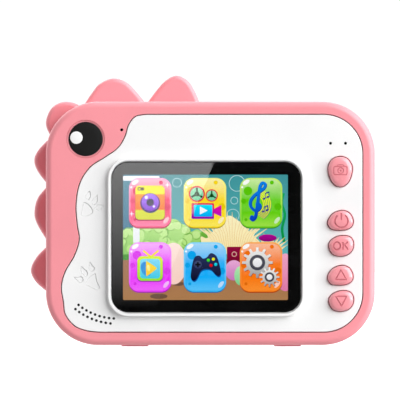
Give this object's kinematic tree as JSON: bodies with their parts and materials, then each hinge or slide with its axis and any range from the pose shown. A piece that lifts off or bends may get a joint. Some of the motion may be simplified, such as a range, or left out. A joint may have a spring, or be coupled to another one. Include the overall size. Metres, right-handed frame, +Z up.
{
  "type": "kids digital camera",
  "caption": "Toy digital camera: two-part rounded case with a crest of fins, screen panel with buttons, lens ring, USB flap, memory card and its inner works.",
  "frame": {"origin": "under the middle of the camera, on the plane that its feet stand on", "axes": "+X to the right as seen from the screen side, +Y towards the lens side, +Z up"},
  "size_m": [0.1021, 0.0367, 0.0805],
  "materials": {
    "pink_plastic": "satin moulded plastic",
    "white_plastic": "semi-gloss moulded plastic",
    "black_gloss": "polished",
    "screen_glass": "polished, black printed border",
    "clear_plastic": "polished",
    "display": "bonded glass cell",
    "steel": "brushed",
    "circuit_board": "solder mask on glass fibre",
    "chip_black": "matt moulding compound",
    "flex": "polyimide film",
    "battery_wrap": "foil pouch",
    "red_lead": "wire insulation",
    "pink_rubber": "matt",
    "paper_cone": "pressed paper",
    "led_white": "phosphor in clear resin"
  },
  "bodies": {
    "housing": {"rear_shell": "pink_plastic", "front_shell": "pink_plastic", "rear_panel": "white_plastic", "foot_left": "pink_rubber", "foot_right": "pink_rubber", "eye_disc": "black_gloss", "eye_glint": "white_plastic", "screen_glass": "screen_glass", "lcd_panel": "display", "lcd_frame": "steel", "lcd_flex": "flex", "main_pcb": "circuit_board", "processor_chip": "chip_black", "microphone": "steel", "status_led_1": "led_white", "status_led_2": "led_white", "battery": "battery_wrap", "battery_lead": "red_lead", "usb_socket": "steel", "card_socket": "steel", "speaker_frame": "steel", "speaker_cone": "paper_cone", "speaker_magnet": "steel", "speaker_lead": "red_lead", "camera_board": "circuit_board", "image_sensor": "chip_black", "lens_holder": "chip_black", "lens_barrel": "chip_black", "lens_front_element": "clear_plastic", "lens_ring": "white_plastic", "lens_window": "clear_plastic", "flash_led": "led_white", "flash_light_pipe": "clear_plastic", "camera_flex": "flex", "case_screw_top_left": "steel", "case_screw_top_right": "steel", "case_screw_bottom_left": "steel", "case_screw_bottom_right": "steel", "pcb_screw_1": "steel", "pcb_screw_2": "steel", "pcb_screw_3": "steel", "pcb_screw_4": "steel", "switch_photo": "chip_black", "switch_power": "chip_black", "switch_ok": "chip_black", "switch_up": "chip_black", "switch_down": "chip_black"},
    "photo_cap": {"button_photo": "pink_plastic"},
    "power_cap": {"button_power": "pink_plastic"},
    "ok_cap": {"button_ok": "pink_plastic"},
    "up_cap": {"button_up": "pink_plastic"},
    "down_cap": {"button_down": "pink_plastic"},
    "photo_plunger": {"plunger_photo": "steel"},
    "power_plunger": {"plunger_power": "steel"},
    "ok_plunger": {"plunger_ok": "steel"},
    "up_plunger": {"plunger_up": "steel"},
    "down_plunger": {"plunger_down": "steel"},
    "flap": {"usb_flap": "pink_rubber"},
    "card": {"memory_card": "chip_black"}
  },
  "joints": [
    {"name": "photo_press", "type": "slide", "parent": "housing", "child": "photo_cap", "axis": [0, 1, 0], "range_m": [0, 0.0005], "stiffness_N_per_m": 1600},
    {"name": "power_press", "type": "slide", "parent": "housing", "child": "power_cap", "axis": [0, 1, 0], "range_m": [0, 0.0005], "stiffness_N_per_m": 1600},
    {"name": "ok_press", "type": "slide", "parent": "housing", "child": "ok_cap", "axis": [0, 1, 0], "range_m": [0, 0.0005], "stiffness_N_per_m": 1600},
    {"name": "up_press", "type": "slide", "parent": "housing", "child": "up_cap", "axis": [0, 1, 0], "range_m": [0, 0.0005], "stiffness_N_per_m": 1600},
    {"name": "down_press", "type": "slide", "parent": "housing", "child": "down_cap", "axis": [0, 1, 0], "range_m": [0, 0.0005], "stiffness_N_per_m": 1600},
    {"name": "photo_click", "type": "slide", "parent": "housing", "child": "photo_plunger", "axis": [0, 1, 0], "range_m": [0, 0.00025]},
    {"name": "power_click", "type": "slide", "parent": "housing", "child": "power_plunger", "axis": [0, 1, 0], "range_m": [0, 0.00025]},
    {"name": "ok_click", "type": "slide", "parent": "housing", "child": "ok_plunger", "axis": [0, 1, 0], "range_m": [0, 0.00025]},
    {"name": "up_click", "type": "slide", "parent": "housing", "child": "up_plunger", "axis": [0, 1, 0], "range_m": [0, 0.00025]},
    {"name": "down_click", "type": "slide", "parent": "housing", "child": "down_plunger", "axis": [0, 1, 0], "range_m": [0, 0.00025]},
    {"name": "flap_hinge", "type": "hinge", "parent": "housing", "child": "flap", "pos_m": [0.05075, -0.0077, 0.0181], "axis": [0, 1, 0], "range_deg": [0, 90]},
    {"name": "card_slide", "type": "slide", "parent": "housing", "child": "card", "axis": [1, 0, 0], "range_m": [-0.0005, 0.016]}
  ],
  "couplings": [
    {"joint": "photo_click", "follows": "photo_press", "ratio": 0.5},
    {"joint": "power_click", "follows": "power_press", "ratio": 0.5},
    {"joint": "ok_click", "follows": "ok_press", "ratio": 0.5},
    {"joint": "up_click", "follows": "up_press", "ratio": 0.5},
    {"joint": "down_click", "follows": "down_press", "ratio": 0.5}
  ]
}
